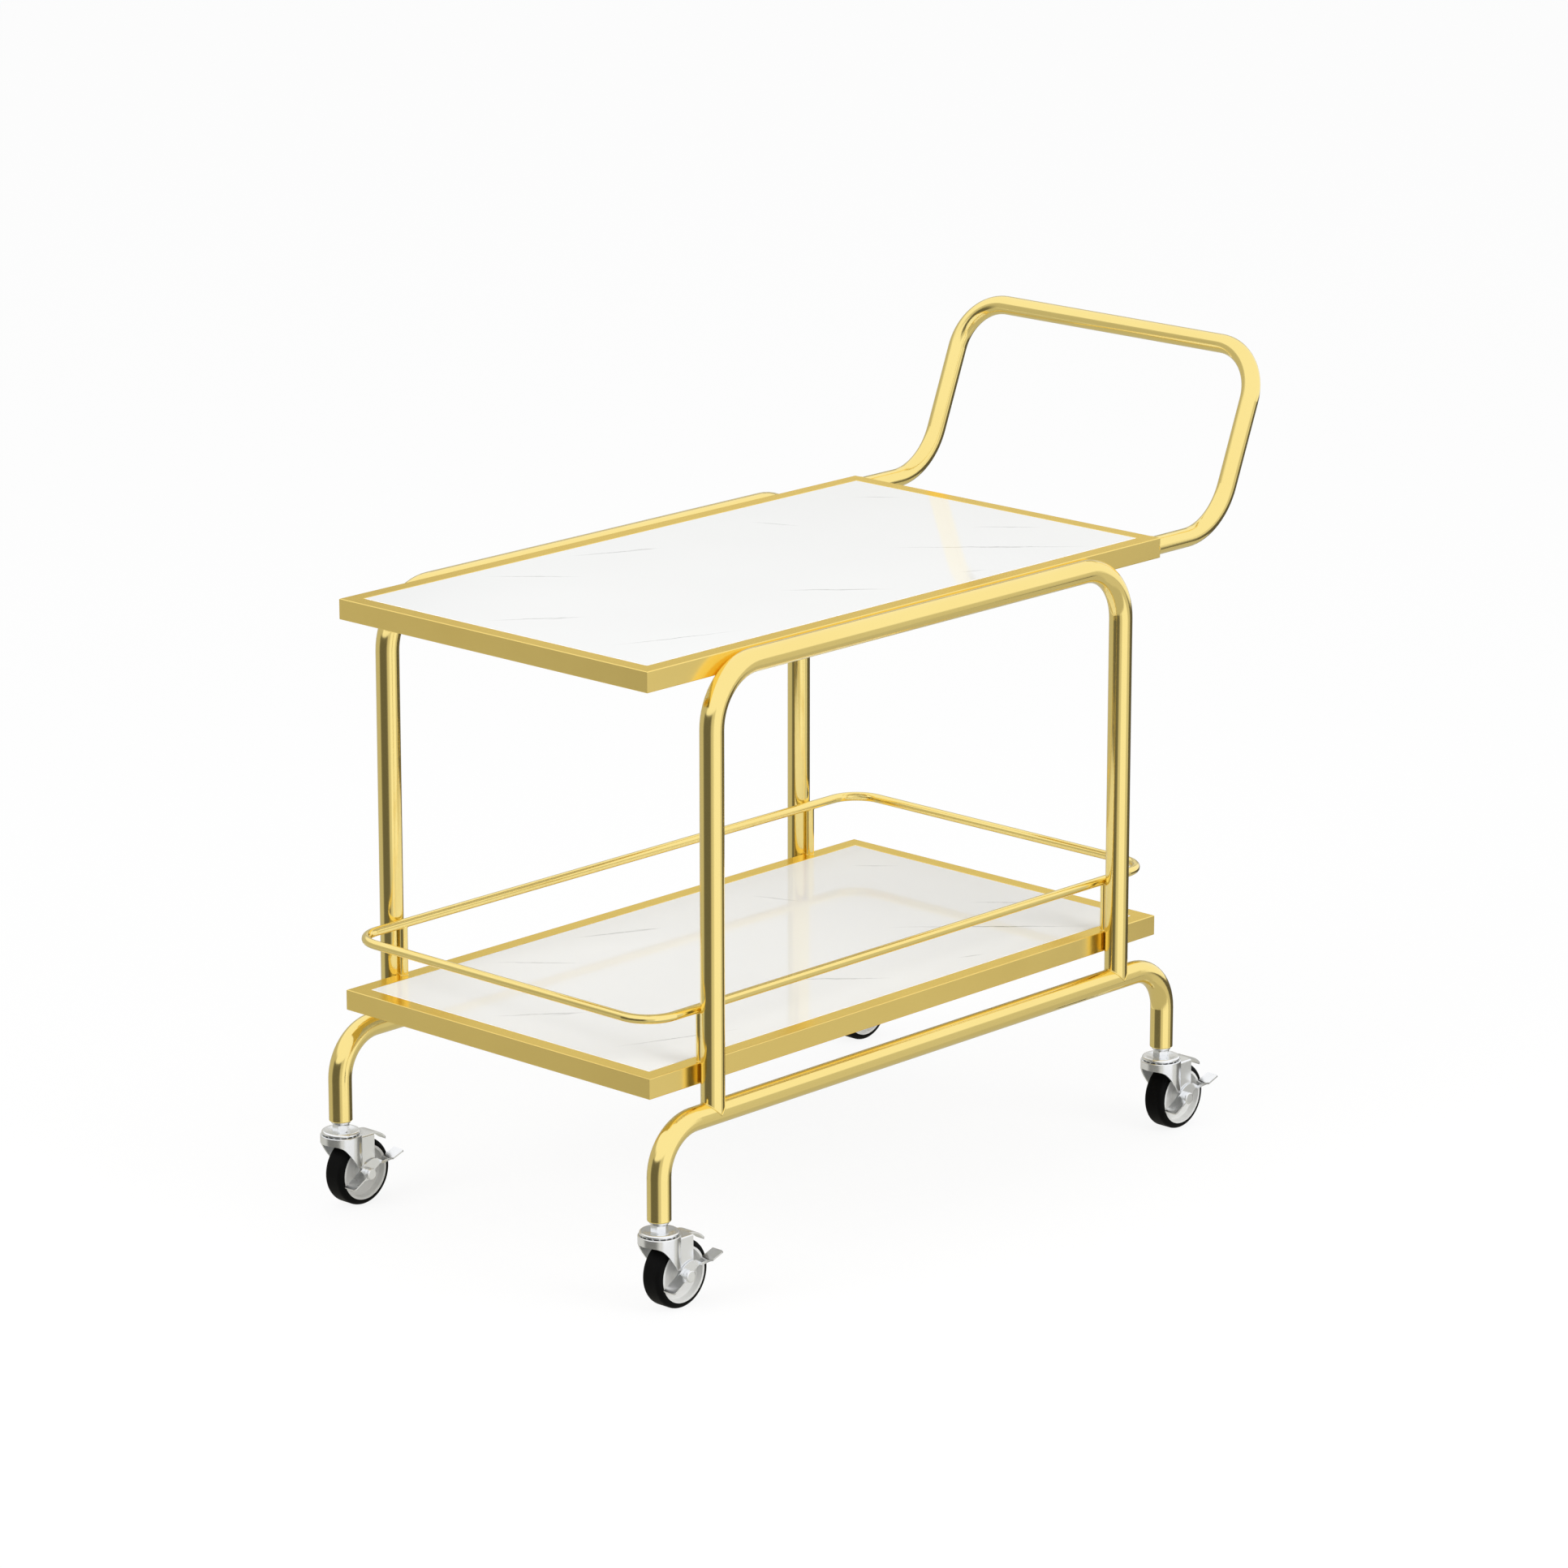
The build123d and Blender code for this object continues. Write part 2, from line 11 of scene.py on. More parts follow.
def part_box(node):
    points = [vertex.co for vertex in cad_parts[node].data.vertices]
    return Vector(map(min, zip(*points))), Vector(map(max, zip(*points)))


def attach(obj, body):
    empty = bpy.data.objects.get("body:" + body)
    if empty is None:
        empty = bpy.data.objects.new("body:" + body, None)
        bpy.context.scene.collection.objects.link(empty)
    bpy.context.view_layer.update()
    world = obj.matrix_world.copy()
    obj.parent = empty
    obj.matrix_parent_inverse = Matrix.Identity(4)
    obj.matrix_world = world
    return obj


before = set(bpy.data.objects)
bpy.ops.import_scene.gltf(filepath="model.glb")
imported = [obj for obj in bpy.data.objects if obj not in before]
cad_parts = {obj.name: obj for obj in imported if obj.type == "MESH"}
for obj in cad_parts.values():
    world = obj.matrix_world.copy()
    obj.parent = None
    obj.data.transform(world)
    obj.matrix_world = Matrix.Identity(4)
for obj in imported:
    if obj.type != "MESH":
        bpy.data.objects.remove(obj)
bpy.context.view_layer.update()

MM = 0.001
WHITE = "#FFFFFF"
MERGE_DISTANCE = 0.002 * MM
BEAD_SIDES = 10
BEAD_STEPS = 72
LOG = logging.getLogger("service_cart")


class Corner(Enum):
    """Corners of the cart, each with its own caster."""

    FRONT_LEFT = "front_left"
    FRONT_RIGHT = "front_right"
    REAR_LEFT = "rear_left"
    REAR_RIGHT = "rear_right"


class Level(Enum):
    """The two shelves."""

    UPPER = "upper"
    LOWER = "lower"


class Side(Enum):
    """The two long sides, as seen by a person who pushes."""

    LEFT = "left"
    RIGHT = "right"


def linear(code: str) -> tuple[float, float, float, float]:
    """Turn an sRGB hex code into linear colour.

    Args:
        code: A hash sign and six hex digits.

    Returns:
        Linear red, green and blue, and an alpha of 1.
    """
    parts = [int(code[i : i + 2], 16) / 255 for i in (1, 3, 5)]
    red, green, blue = (c / 12.92 if c <= 0.04045 else ((c + 0.055) / 1.055) ** 2.4 for c in parts)
    return red, green, blue, 1.0


def add_node(
    tree: bpy.types.NodeTree,
    kind: str,
    settings: dict[str, object] | None = None,
    inputs: dict[str | int, object] | None = None,
) -> bpy.types.Node:
    """Add one shader node with its settings and links.

    Args:
        tree: Node tree that gets the node.
        kind: Type name of the node, without its ShaderNode prefix.
        settings: Attributes to set on the node.
        inputs: Values, or output sockets to link, by input name or index.

    Returns:
        The new node.
    """
    node = tree.nodes.new("ShaderNode" + kind)
    for name, value in (settings or {}).items():
        setattr(node, name, value)
    for name, value in (inputs or {}).items():
        if isinstance(value, bpy.types.NodeSocket):
            tree.links.new(value, node.inputs[name])
        else:
            node.inputs[name].default_value = value
    return node


def start_material(
    name: str,
) -> tuple[bpy.types.Material, bpy.types.NodeTree, bpy.types.NodeSocket]:
    """Start a material that reads Object coordinates.

    Args:
        name: Name of the real material.

    Returns:
        The material, its empty node tree and the coordinate socket.
    """
    material = bpy.data.materials.new(name)
    material.use_nodes = True
    tree = material.node_tree
    tree.nodes.clear()
    place = add_node(tree, "TexCoord").outputs["Object"]
    return material, tree, place


def end_material(tree: bpy.types.NodeTree, shader: bpy.types.Node) -> None:
    """Wire a shader to the material's output.

    Args:
        tree: Node tree of the material.
        shader: Surface shader.
    """
    add_node(tree, "OutputMaterial", inputs={"Surface": shader.outputs[0]})


def per_metre(size_mm: float) -> float:
    """Noise scale, in features per metre, of a pattern with features of a size in millimetres."""
    return 1 / (size_mm * MM)


@dataclass(frozen=True)
class GoldPlating:
    """Gold plating on steel: one warm colour in all reflections, clouded a little by handling."""

    name: str
    roughness: float
    smudge_roughness: float
    colour: str = "#FDE899"
    deep_colour: str = "#FAE18E"
    edge_tint: str = WHITE
    cloud_size: float = 180.0
    smudge_size: float = 45.0
    smudge_range: tuple[float, float] = (0.35, 0.75)
    grain: tuple[float, float, float] = (2.5, 2.5, 2.5)
    grain_height: float = 0.003
    grain_strength: float = 0.35

    def build(self) -> bpy.types.Material:
        """Make the material.

        Returns:
            Metal with faint clouds of colour, smudges in the gloss and a fine finishing grain.
        """
        material, tree, place = start_material(self.name)
        clouds = add_node(
            tree,
            "TexNoise",
            inputs={"Vector": place, "Scale": per_metre(self.cloud_size)},
        )
        colour = add_node(
            tree,
            "Mix",
            {"data_type": "RGBA"},
            {0: clouds.outputs["Fac"], 6: linear(self.colour), 7: linear(self.deep_colour)},
        )
        smudges = add_node(
            tree,
            "TexNoise",
            inputs={"Vector": place, "Scale": per_metre(self.smudge_size), "Detail": 5.0},
        )
        gloss = add_node(
            tree,
            "MapRange",
            inputs={
                "Value": smudges.outputs["Fac"],
                "From Min": self.smudge_range[0],
                "From Max": self.smudge_range[1],
                "To Min": self.roughness,
                "To Max": self.smudge_roughness,
            },
        )
        # The finishing lines of a real cart are finer than a pixel, so they are drawn coarser.
        run = add_node(
            tree,
            "Mapping",
            inputs={"Vector": place, "Scale": [per_metre(size) for size in self.grain]},
        )
        lines = add_node(
            tree,
            "TexNoise",
            inputs={"Vector": run.outputs[0], "Scale": 1.0, "Detail": 3.0},
        )
        relief = add_node(
            tree,
            "Bump",
            inputs={
                "Height": lines.outputs["Fac"],
                "Strength": self.grain_strength,
                "Distance": self.grain_height * MM,
            },
        )
        shader = add_node(
            tree,
            "BsdfPrincipled",
            inputs={
                "Base Color": colour.outputs[2],
                "Metallic": 1.0,
                "Roughness": gloss.outputs[0],
                "Specular Tint": linear(self.edge_tint),
                "Normal": relief.outputs[0],
            },
        )
        end_material(tree, shader)
        return material


@dataclass(frozen=True)
class Vein:
    """One lens-shaped streak in the slab, with its ends in millimetres from the slab's middle."""

    start: tuple[float, float]
    end: tuple[float, float]
    width: float
    strength: float


@dataclass(frozen=True)
class StoneSlab:
    """Polished white sintered stone: even and glossy, with short thin grey veins on the slant."""

    name: str = "polished_sintered_stone"
    colour: str = "#F8F9FA"
    cloud_colour: str = "#F3F4F5"
    vein_colour: str = "#8C8C8D"
    roughness: float = 0.045
    worn_roughness: float = 0.075
    specular: float = 0.27
    ior: float = 1.52
    cloud_size: float = 220.0
    wander_size: float = 38.0
    wander: float = 7.0
    speckle_size: float = 7.0
    speckle_range: tuple[float, float] = (0.3, 0.55)
    faint_share: float = 0.5
    vein_depth: float = 100000.0
    veins: tuple[Vein, ...] = (
        Vein((-362, 46), (-276, -22), 3.2, 0.84),
        Vein((-318, 4), (-284, -16), 4.5, 0.54),
        Vein((-352, -122), (-208, -178), 3.0, 0.70),
        Vein((-228, 186), (-156, 106), 5.0, 0.52),
        Vein((-104, 184), (-4, 137), 5.0, 0.65),
        Vein((-38, 158), (-8, 138), 4.0, 0.54),
        Vein((-58, -86), (30, -174), 4.0, 0.92),
        Vein((162, -38), (322, -202), 3.4, 0.96),
        Vein((222, -102), (282, -160), 4.2, 0.50),
        Vein((296, -40), (352, -100), 4.5, 0.62),
        Vein((150, 154), (174, 96), 5.0, 0.46),
        Vein((316, 154), (354, 110), 4.5, 0.43),
        Vein((130, -172), (162, -186), 4.0, 0.46),
    )

    def build(self) -> bpy.types.Material:
        """Make the material.

        Returns:
            Glossy stone with clouds, veins and a slightly uneven polish.
        """
        low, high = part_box("upper_slab")
        material, tree, place = start_material(self.name)
        middle = (low + high) / 2
        from_middle = add_node(
            tree,
            "VectorMath",
            {"operation": "SUBTRACT"},
            {0: place, 1: (middle.x, middle.y, 0)},
        )
        drift = add_node(
            tree,
            "TexNoise",
            inputs={"Vector": place, "Scale": per_metre(self.wander_size), "Detail": 4.0},
        )
        bent = add_node(
            tree,
            "VectorMath",
            {"operation": "MULTIPLY_ADD"},
            {0: drift.outputs["Color"], 1: (self.wander * MM,) * 3, 2: from_middle.outputs[0]},
        )
        total: bpy.types.NodeSocket | float = 0.0
        for vein in self.veins:
            total = self.add_vein(tree, bent.outputs[0], vein, total)
        speckle = add_node(
            tree,
            "TexNoise",
            inputs={"Vector": place, "Scale": per_metre(self.speckle_size), "Detail": 3.0},
        )
        broken = add_node(
            tree,
            "MapRange",
            inputs={
                "Value": speckle.outputs["Fac"],
                "From Min": self.speckle_range[0],
                "From Max": self.speckle_range[1],
                "To Min": self.faint_share,
            },
        )
        amount = add_node(
            tree,
            "Math",
            {"operation": "MULTIPLY", "use_clamp": True},
            {0: total, 1: broken.outputs[0]},
        )
        clouds = add_node(
            tree,
            "TexNoise",
            inputs={"Vector": place, "Scale": per_metre(self.cloud_size)},
        )
        ground = add_node(
            tree,
            "Mix",
            {"data_type": "RGBA"},
            {0: clouds.outputs["Fac"], 6: linear(self.colour), 7: linear(self.cloud_colour)},
        )
        colour = add_node(
            tree,
            "Mix",
            {"data_type": "RGBA"},
            {0: amount.outputs[0], 6: ground.outputs[2], 7: linear(self.vein_colour)},
        )
        gloss = add_node(
            tree,
            "MapRange",
            inputs={
                "Value": speckle.outputs["Fac"],
                "To Min": self.roughness,
                "To Max": self.worn_roughness,
            },
        )
        shader = add_node(
            tree,
            "BsdfPrincipled",
            inputs={
                "Base Color": colour.outputs[2],
                "Roughness": gloss.outputs[0],
                "IOR": self.ior,
                "Specular IOR Level": self.specular,
            },
        )
        end_material(tree, shader)
        return material

    def add_vein(
        self,
        tree: bpy.types.NodeTree,
        place: bpy.types.NodeSocket,
        vein: Vein,
        total: bpy.types.NodeSocket | float,
    ) -> bpy.types.NodeSocket:
        """Add one vein to the sum of those before it.

        Args:
            tree: Node tree of the slab's material.
            place: Coordinates from the slab's middle.
            vein: The vein.
            total: Sum of the veins before this one.

        Returns:
            The new sum.
        """
        start, end = Vector(vein.start), Vector(vein.end)
        run = end - start
        centre = (start + end) / 2 + Vector((self.wander, self.wander)) / 2
        local = add_node(
            tree,
            "Mapping",
            {"vector_type": "TEXTURE"},
            {
                "Vector": place,
                "Location": (centre.x * MM, centre.y * MM, 0),
                "Rotation": (0, 0, math.atan2(run.y, run.x)),
                # Far deeper than the slab, so that a vein also shows on the slab's edges.
                "Scale": (run.length / 2 * MM, vein.width / 2 * MM, self.vein_depth * MM),
            },
        )
        lens = add_node(
            tree,
            "TexGradient",
            {"gradient_type": "SPHERICAL"},
            {"Vector": local.outputs[0]},
        )
        added = add_node(
            tree,
            "Math",
            {"operation": "MULTIPLY_ADD"},
            {0: lens.outputs["Fac"], 1: vein.strength, 2: total},
        )
        return added.outputs[0]


@dataclass(frozen=True)
class BrightSteel:
    """Bright plated pressed steel: pale neutral reflections, slightly soft, with a faint grain."""

    name: str = "bright_zinc_plated_steel"
    colour: str = "#FAFBFD"
    dull_colour: str = "#F3F5F7"
    roughness: float = 0.22
    dull_roughness: float = 0.28
    patch_size: float = 22.0
    patch_range: tuple[float, float] = (0.3, 0.7)
    grain_size: float = 0.7
    grain_height: float = 0.01
    grain_strength: float = 0.3

    def build(self) -> bpy.types.Material:
        """Make the material.

        Returns:
            Metal with patches of duller plating and a fine grain.
        """
        material, tree, place = start_material(self.name)
        patches = add_node(
            tree,
            "TexNoise",
            inputs={"Vector": place, "Scale": per_metre(self.patch_size), "Detail": 4.0},
        )
        colour = add_node(
            tree,
            "Mix",
            {"data_type": "RGBA"},
            {0: patches.outputs["Fac"], 6: linear(self.colour), 7: linear(self.dull_colour)},
        )
        gloss = add_node(
            tree,
            "MapRange",
            inputs={
                "Value": patches.outputs["Fac"],
                "From Min": self.patch_range[0],
                "From Max": self.patch_range[1],
                "To Min": self.roughness,
                "To Max": self.dull_roughness,
            },
        )
        grain = add_node(
            tree,
            "TexNoise",
            inputs={"Vector": place, "Scale": per_metre(self.grain_size)},
        )
        relief = add_node(
            tree,
            "Bump",
            inputs={
                "Height": grain.outputs["Fac"],
                "Strength": self.grain_strength,
                "Distance": self.grain_height * MM,
            },
        )
        shader = add_node(
            tree,
            "BsdfPrincipled",
            inputs={
                "Base Color": colour.outputs[2],
                "Metallic": 1.0,
                "Roughness": gloss.outputs[0],
                "Normal": relief.outputs[0],
            },
        )
        end_material(tree, shader)
        return material


@dataclass(frozen=True)
class MouldedPlastic:
    """Moulded nylon or rubber: soft sheen over a fine moulded texture, with faint uneven tone."""

    name: str
    colour: str
    shade: str
    roughness: float
    dull_roughness: float
    ior: float
    specular: float = 0.5
    tone_size: float = 14.0
    texture_size: float = 0.6
    texture_height: float = 0.02
    texture_strength: float = 0.4

    def build(self) -> bpy.types.Material:
        """Make the material.

        Returns:
            Plastic with a moulded texture.
        """
        material, tree, place = start_material(self.name)
        tone = add_node(
            tree,
            "TexNoise",
            inputs={"Vector": place, "Scale": per_metre(self.tone_size), "Detail": 4.0},
        )
        colour = add_node(
            tree,
            "Mix",
            {"data_type": "RGBA"},
            {0: tone.outputs["Fac"], 6: linear(self.colour), 7: linear(self.shade)},
        )
        gloss = add_node(
            tree,
            "MapRange",
            inputs={
                "Value": tone.outputs["Fac"],
                "To Min": self.roughness,
                "To Max": self.dull_roughness,
            },
        )
        texture = add_node(
            tree,
            "TexNoise",
            inputs={"Vector": place, "Scale": per_metre(self.texture_size), "Detail": 3.0},
        )
        relief = add_node(
            tree,
            "Bump",
            inputs={
                "Height": texture.outputs["Fac"],
                "Strength": self.texture_strength,
                "Distance": self.texture_height * MM,
            },
        )
        shader = add_node(
            tree,
            "BsdfPrincipled",
            inputs={
                "Base Color": colour.outputs[2],
                "Roughness": gloss.outputs[0],
                "IOR": self.ior,
                "Specular IOR Level": self.specular,
                "Normal": relief.outputs[0],
            },
        )
        end_material(tree, shader)
        return material


@dataclass
class Finishes:
    """Every finish on the cart, made once."""

    tube: bpy.types.Material = field(init=False)
    rim_along: bpy.types.Material = field(init=False)
    rim_across: bpy.types.Material = field(init=False)
    stone: bpy.types.Material = field(init=False)
    steel: bpy.types.Material = field(init=False)
    nylon: bpy.types.Material = field(init=False)
    tyre: bpy.types.Material = field(init=False)
    pad: bpy.types.Material = field(init=False)

    def __post_init__(self) -> None:
        """Make the materials."""
        # Steel tube, polished and then gold-plated: clear light and dark bands along each tube.
        self.tube = GoldPlating("polished_gold_plated_steel", 0.11, 0.15).build()
        # Steel section, satin-ground lengthwise and then gold-plated: the same gold, soft and even.
        satin = GoldPlating(
            "satin_gold_plated_steel_x", 0.18, 0.22, "#FDE490", "#FADD85", "#FFF2C8"
        )
        self.rim_along = replace(satin, grain=(80.0, 1.2, 1.2)).build()
        self.rim_across = replace(
            satin, name="satin_gold_plated_steel_y", grain=(1.2, 80.0, 1.2)
        ).build()
        # Sintered stone, ground and polished: an even white that mirrors the tubes faintly.
        self.stone = StoneSlab().build()
        # Pressed steel, bright zinc-plated: pale, slightly milky reflections with duller patches.
        self.steel = BrightSteel().build()
        # Nylon, injection-moulded: off-white with a soft sheen that the mould texture breaks up.
        self.nylon = MouldedPlastic(
            "moulded_nylon", "#EDEDEB", "#E3E3E1", 0.30, 0.42, 1.53
        ).build()
        # Tyre rubber, moulded: almost black, with a broad and dull highlight.
        self.tyre = MouldedPlastic(
            "moulded_tyre_rubber", "#0A0A0A", "#0E0E0E", 0.45, 0.58, 1.50, 0.06
        ).build()
        # Soft rubber, punched from sheet: pale grey and matt.
        self.pad = MouldedPlastic(
            "punched_pad_rubber", "#C9C9C4", "#BDBDB8", 0.55, 0.70, 1.45
        ).build()


def paint(node: str, material: bpy.types.Material) -> None:
    """Give a carried-over node its finish.

    Args:
        node: Name of the node.
        material: The finish.
    """
    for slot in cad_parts[node].material_slots:
        slot.material = material
    LOG.info("dressed %s in %s", node, material.name)


def finish_piece(
    shape: bmesh.types.BMesh, name: str, body: str, material: bpy.types.Material
) -> bpy.types.Object:
    """Turn a finished shape into a piece that rides on a body.

    Args:
        shape: The shape, in place, in metres. It is freed.
        name: Name of the piece.
        body: Body that it moves with.
        material: The finish.

    Returns:
        The new object.
    """
    bmesh.ops.remove_doubles(shape, verts=shape.verts, dist=MERGE_DISTANCE)
    bmesh.ops.recalc_face_normals(shape, faces=shape.faces)
    for face in shape.faces:
        face.smooth = True
    mesh = bpy.data.meshes.new(name)
    shape.to_mesh(mesh)
    shape.free()
    mesh.materials.append(material)
    piece = bpy.data.objects.new(name, mesh)
    bpy.context.scene.collection.objects.link(piece)
    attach(piece, body)
    LOG.info("made %s with %d faces on %s", name, len(mesh.polygons), body)
    return piece


def add_bead(
    shape: bmesh.types.BMesh, place: Matrix, radius: float, bead: float, saddle: float | None = None
) -> None:
    """Add a polished weld bead round a tube's end.

    Args:
        shape: Shape that gets the bead.
        place: Where the tube's axis meets the other piece, with the tube along its Z axis.
        radius: Radius of the tube, in metres.
        bead: Radius of the bead, in metres.
        saddle: Radius of the crossing tube along X that the bead drops round, or None if flat.
    """
    upright = Matrix.Translation((radius, 0, 0)) @ Matrix.Rotation(math.pi / 2, 4, "X")
    ring = bmesh.ops.create_circle(shape, segments=BEAD_SIDES, radius=bead, matrix=upright)["verts"]
    edges = list({edge for vert in ring for edge in vert.link_edges})
    known = set(shape.verts) - set(ring)
    bmesh.ops.spin(
        shape,
        geom=ring + edges,
        cent=(0, 0, 0),
        axis=(0, 0, 1),
        dvec=(0, 0, 0),
        angle=2 * math.pi,
        steps=BEAD_STEPS,
        use_merge=True,
        use_duplicate=False,
    )
    made = [vert for vert in shape.verts if vert not in known]
    if saddle is not None:
        for vert in made:
            angle = math.atan2(vert.co.y, vert.co.x)
            across = radius * math.sin(angle)
            vert.co.z += math.sqrt(max(saddle**2 - across**2, 0.0))
    bmesh.ops.transform(shape, matrix=place, verts=made)


@dataclass
class Shelf:
    """One shelf: mitred rim, stone slab, and the ledges and pads under it."""

    level: Level
    finishes: Finishes

    def dress(self) -> None:
        """Give the shelf's nodes their finishes."""
        name = self.level.value
        for side in ("left", "right"):
            paint(f"{name}_{side}_rail", self.finishes.rim_along)
        for end in ("front", "rear"):
            paint(f"{name}_{end}_rail", self.finishes.rim_across)
        paint(f"{name}_ledges", self.finishes.rim_along)
        paint(f"{name}_slab", self.finishes.stone)
        paint(f"{name}_slab_pads", self.finishes.pad)


@dataclass
class TubeFrame:
    """Hoops, base bars, gallery rail and push handle, with the welds that join them."""

    finishes: Finishes
    foot_bead: float = 0.9 * MM
    post_bead: float = 0.7 * MM
    handle_bead: float = 0.9 * MM
    post_radius: float = 4.5 * MM
    rail_radius: float = 5.0 * MM

    def dress(self) -> None:
        """Give the tubes their finish."""
        for side in Side:
            paint(f"{side.value}_hoop", self.finishes.tube)
            paint(f"{side.value}_base_bar", self.finishes.tube)
        for node in ("gallery_rail", "gallery_posts", "push_handle"):
            paint(node, self.finishes.tube)

    def leg_places(self) -> list[tuple[float, float]]:
        """Find the middle of each leg in plan.

        Returns:
            The places along and across, in metres.
        """
        places = []
        for side in Side:
            low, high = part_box(f"{side.value}_hoop")
            radius = (high.y - low.y) / 2
            places += [(along, (low.y + high.y) / 2) for along in (low.x + radius, high.x - radius)]
        return places

    def build_leg_welds(self) -> bpy.types.Object:
        """Weld bead where each leg sits on its base bar.

        Returns:
            The piece.
        """
        low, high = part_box("left_base_bar")
        radius = (high.y - low.y) / 2
        shape = bmesh.new()
        for along, across in self.leg_places():
            place = Matrix.Translation((along, across, high.z - radius))
            add_bead(shape, place, radius, self.foot_bead, radius)
        return finish_piece(shape, "leg_welds", "frame", self.finishes.tube)

    def build_post_welds(self) -> bpy.types.Object:
        """Weld beads at both ends of each gallery post.

        Returns:
            The piece.
        """
        low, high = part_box("gallery_posts")
        rail_low, rail_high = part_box("gallery_rail")
        rail_height = (rail_low.z + rail_high.z) / 2
        shape = bmesh.new()
        for along in (low.x + self.post_radius, high.x - self.post_radius):
            for across in (low.y + self.post_radius, high.y - self.post_radius):
                foot = Matrix.Translation((along, across, low.z))
                add_bead(shape, foot, self.post_radius, self.post_bead)
                top = Matrix.Translation((along, across, rail_height))
                turned = top @ Matrix.Rotation(math.pi, 4, "X")
                add_bead(shape, turned, self.post_radius, self.post_bead, self.rail_radius)
        return finish_piece(shape, "post_welds", "frame", self.finishes.tube)

    def build_handle_welds(self) -> bpy.types.Object:
        """Weld beads where the handle's ends meet the rear rim.

        Returns:
            The piece.
        """
        low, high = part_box("push_handle")
        rim_low, rim_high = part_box("upper_rear_rail")
        height = (rim_low.z + rim_high.z) / 2
        radius = height - low.z
        shape = bmesh.new()
        for across in (low.y + radius, high.y - radius):
            end = Matrix.Translation((low.x, across, height))
            add_bead(shape, end @ Matrix.Rotation(math.pi / 2, 4, "Y"), radius, self.handle_bead)
        return finish_piece(shape, "handle_welds", "frame", self.finishes.tube)


@dataclass
class Caster:
    """One braked swivel caster."""

    corner: Corner
    finishes: Finishes
    bolt_radius: float = 4.0 * MM
    thread_root: float = 0.1 * MM
    thread_pitch: float = 1.25 * MM
    thread_height: float = 0.35 * MM
    thread_flank: float = 0.35
    thread_steps: int = 36
    least_steps: int = 8

    def dress(self) -> None:
        """Give the caster's nodes their finishes."""
        name = self.corner.value
        for piece in ("fork", "axle_bolt", "axle_nut", "axle_sleeve", "side_washers"):
            paint(f"{name}_{piece}", self.finishes.steel)
        paint(f"{name}_brake_lever", self.finishes.steel)
        paint(f"{name}_wheel_core", self.finishes.nylon)
        paint(f"{name}_tyre", self.finishes.tyre)

    def build_axle_thread(self) -> bpy.types.Object:
        """Thread on the tail of the axle bolt, outside its nut.

        Returns:
            The piece.
        """
        name = self.corner.value
        nut_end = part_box(f"{name}_axle_nut")[1].y
        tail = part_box(f"{name}_axle_bolt")[1].y - nut_end
        sleeve_low, sleeve_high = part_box(f"{name}_axle_sleeve")
        middle = (sleeve_low + sleeve_high) / 2
        half = self.thread_flank * self.thread_pitch
        turns = (tail - 2 * half) / self.thread_pitch
        steps = max(int(turns * self.thread_steps), self.least_steps)
        shape = bmesh.new()
        corners = [
            shape.verts.new((self.bolt_radius - self.thread_root, 0, -half)),
            shape.verts.new((self.bolt_radius + self.thread_height, 0, 0)),
            shape.verts.new((self.bolt_radius - self.thread_root, 0, half)),
        ]
        profile = shape.faces.new(corners)
        bmesh.ops.spin(
            shape,
            geom=[profile] + list(profile.edges) + corners,
            cent=(0, 0, 0),
            axis=(0, 0, 1),
            dvec=(0, 0, turns * self.thread_pitch / steps),
            angle=2 * math.pi * turns,
            steps=steps,
            use_merge=False,
            use_duplicate=False,
        )
        start = Matrix.Translation((middle.x, nut_end + half, middle.z))
        place = start @ Matrix.Rotation(-math.pi / 2, 4, "X")
        bmesh.ops.transform(shape, matrix=place, verts=shape.verts)
        return finish_piece(
            shape, f"{name}_axle_thread", f"{name}_caster", self.finishes.steel
        )


@dataclass
class StemFittings:
    """Threaded inserts, stems, caps, balls and washers between the stub ends and the forks."""

    finishes: Finishes

    def dress(self) -> None:
        """Give the fittings their finish."""
        for node in ("leg_inserts", "caster_stems", "race_caps", "swivel_balls", "swivel_washers"):
            paint(node, self.finishes.steel)


@dataclass(frozen=True)
class Card:
    """Grey soft-edged studio panel that shows only in reflections.

    Its ends are bearings from the camera in degrees, and its sizes are in metres.
    """

    name: str
    start: float
    end: float
    top: float
    grey: str
    radius: float = 5.0
    feather: float = 12.0
    top_feather: float = 0.25
    foot: float = -2.0
    foot_feather: float = 0.01


